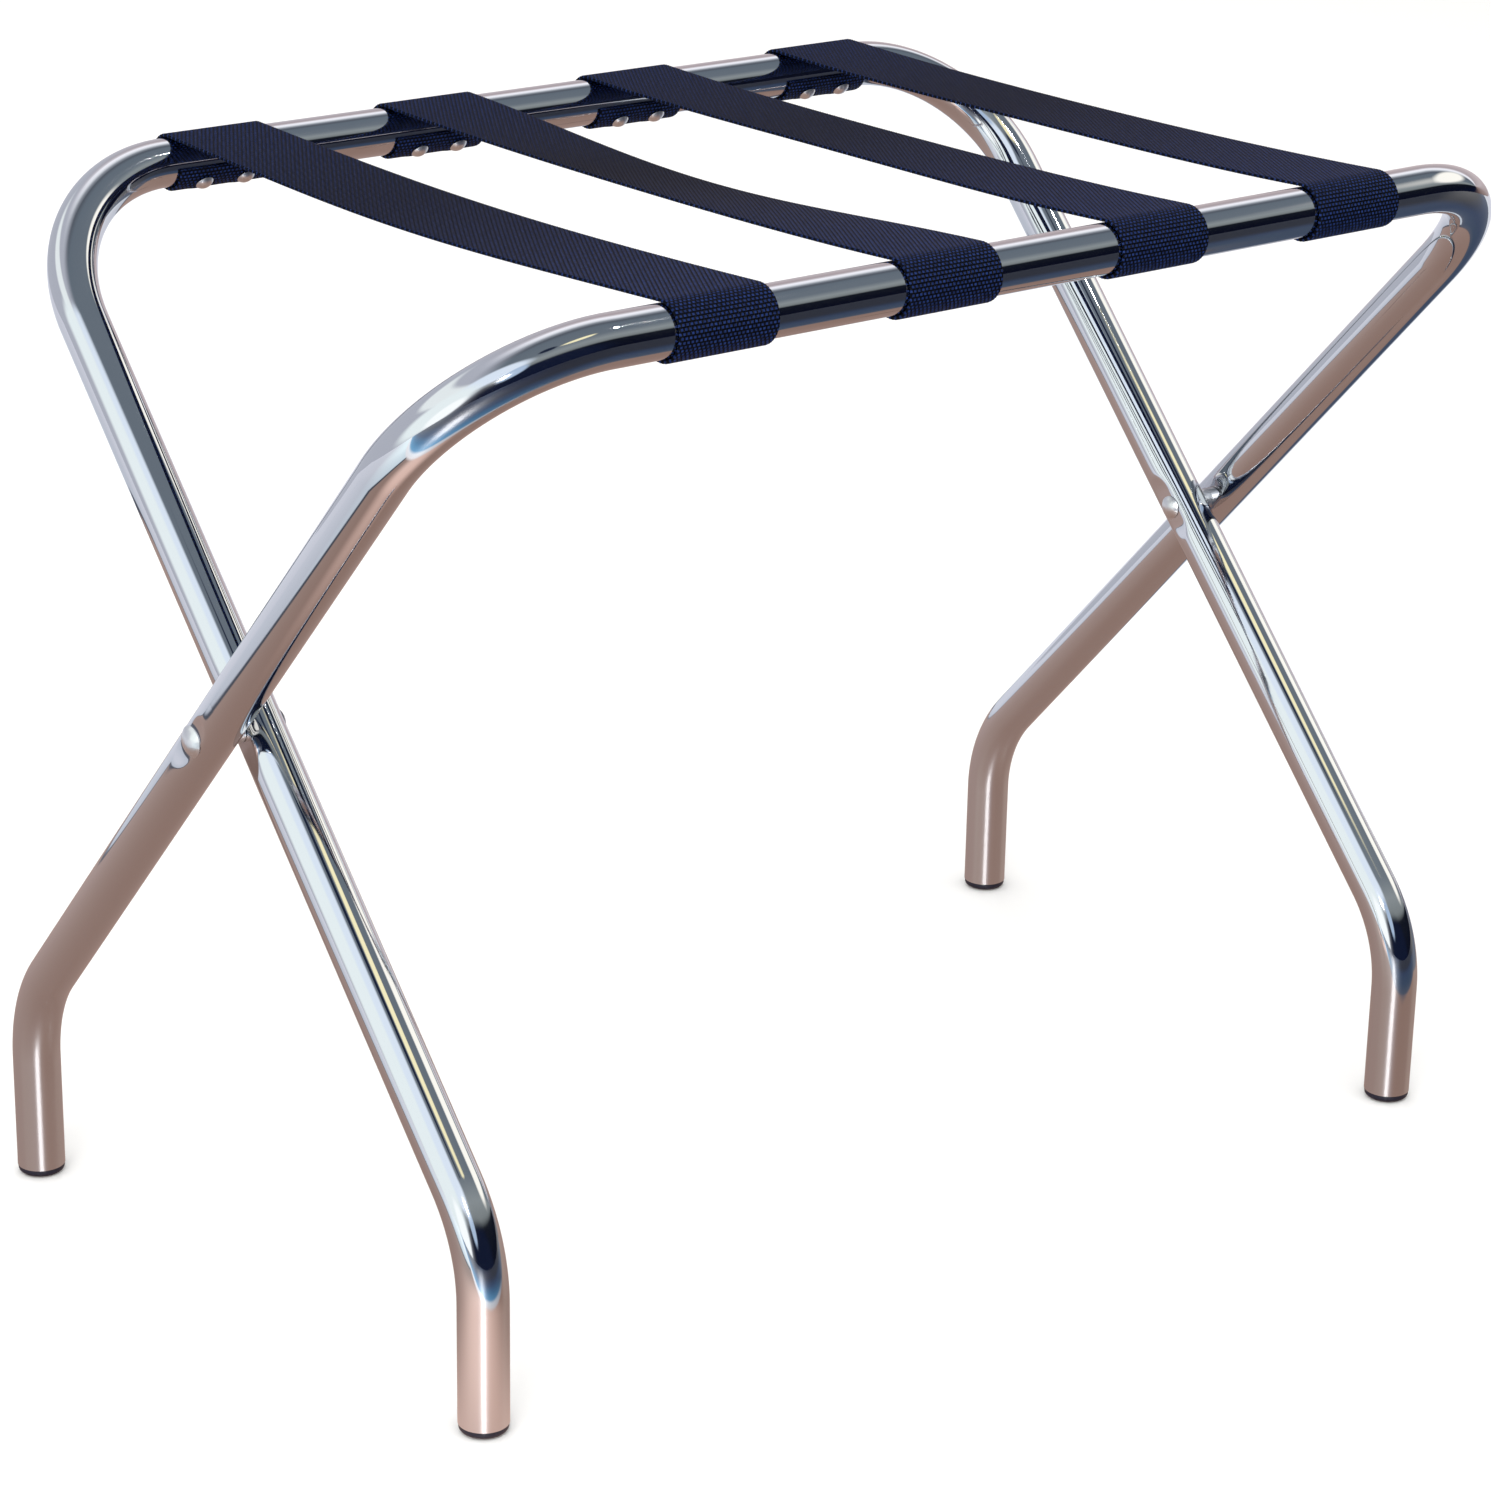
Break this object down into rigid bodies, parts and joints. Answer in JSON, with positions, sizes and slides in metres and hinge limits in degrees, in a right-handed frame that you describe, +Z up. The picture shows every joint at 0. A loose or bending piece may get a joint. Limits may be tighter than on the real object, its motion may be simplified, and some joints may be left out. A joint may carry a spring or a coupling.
{
  "type": "folding luggage rack",
  "caption": "Folding X-frame luggage rack: two crossed chrome tube frames on pivot rivets, with webbing straps across the top rails.",
  "frame": {"origin": "on the floor, midway between the four feet and under the pivot line", "axes": "+X runs along the two rails and the pivot line, +Y points from the outer frame's rail to the inner frame's rail, +Z is up"},
  "size_m": [0.6234, 0.39, 0.48],
  "materials": {
    "chrome_tube": "bright chrome plate on bent steel tube",
    "rivet_metal": "nickel-plated steel rivets and spacer rings",
    "webbing": "navy ribbed polypropylene webbing",
    "glide_plastic": "moulded dark plastic"
  },
  "bodies": {
    "outer_frame": {"outer_frame_tube": "chrome_tube", "pivot_rivet_left": "rivet_metal", "pivot_rivet_right": "rivet_metal", "pivot_spacer_left": "rivet_metal", "pivot_spacer_right": "rivet_metal", "outer_glide_left": "glide_plastic", "outer_glide_right": "glide_plastic", "strap_1": "webbing", "strap_2": "webbing", "strap_3": "webbing", "strap_4": "webbing", "strap_1_near_rivets": "rivet_metal", "strap_2_near_rivets": "rivet_metal", "strap_3_near_rivets": "rivet_metal", "strap_4_near_rivets": "rivet_metal"},
    "inner_frame": {"inner_frame_tube": "chrome_tube", "inner_glide_left": "glide_plastic", "inner_glide_right": "glide_plastic", "strap_1_far_rivets": "rivet_metal", "strap_2_far_rivets": "rivet_metal", "strap_3_far_rivets": "rivet_metal", "strap_4_far_rivets": "rivet_metal"}
  },
  "joints": [
    {"name": "fold", "type": "hinge", "parent": "outer_frame", "child": "inner_frame", "pos_m": [0, 0, 0.26601], "axis": [1, 0, 0], "range_deg": [0, 76], "deforming": ["strap_1", "strap_2", "strap_3", "strap_4"]}
  ]
}
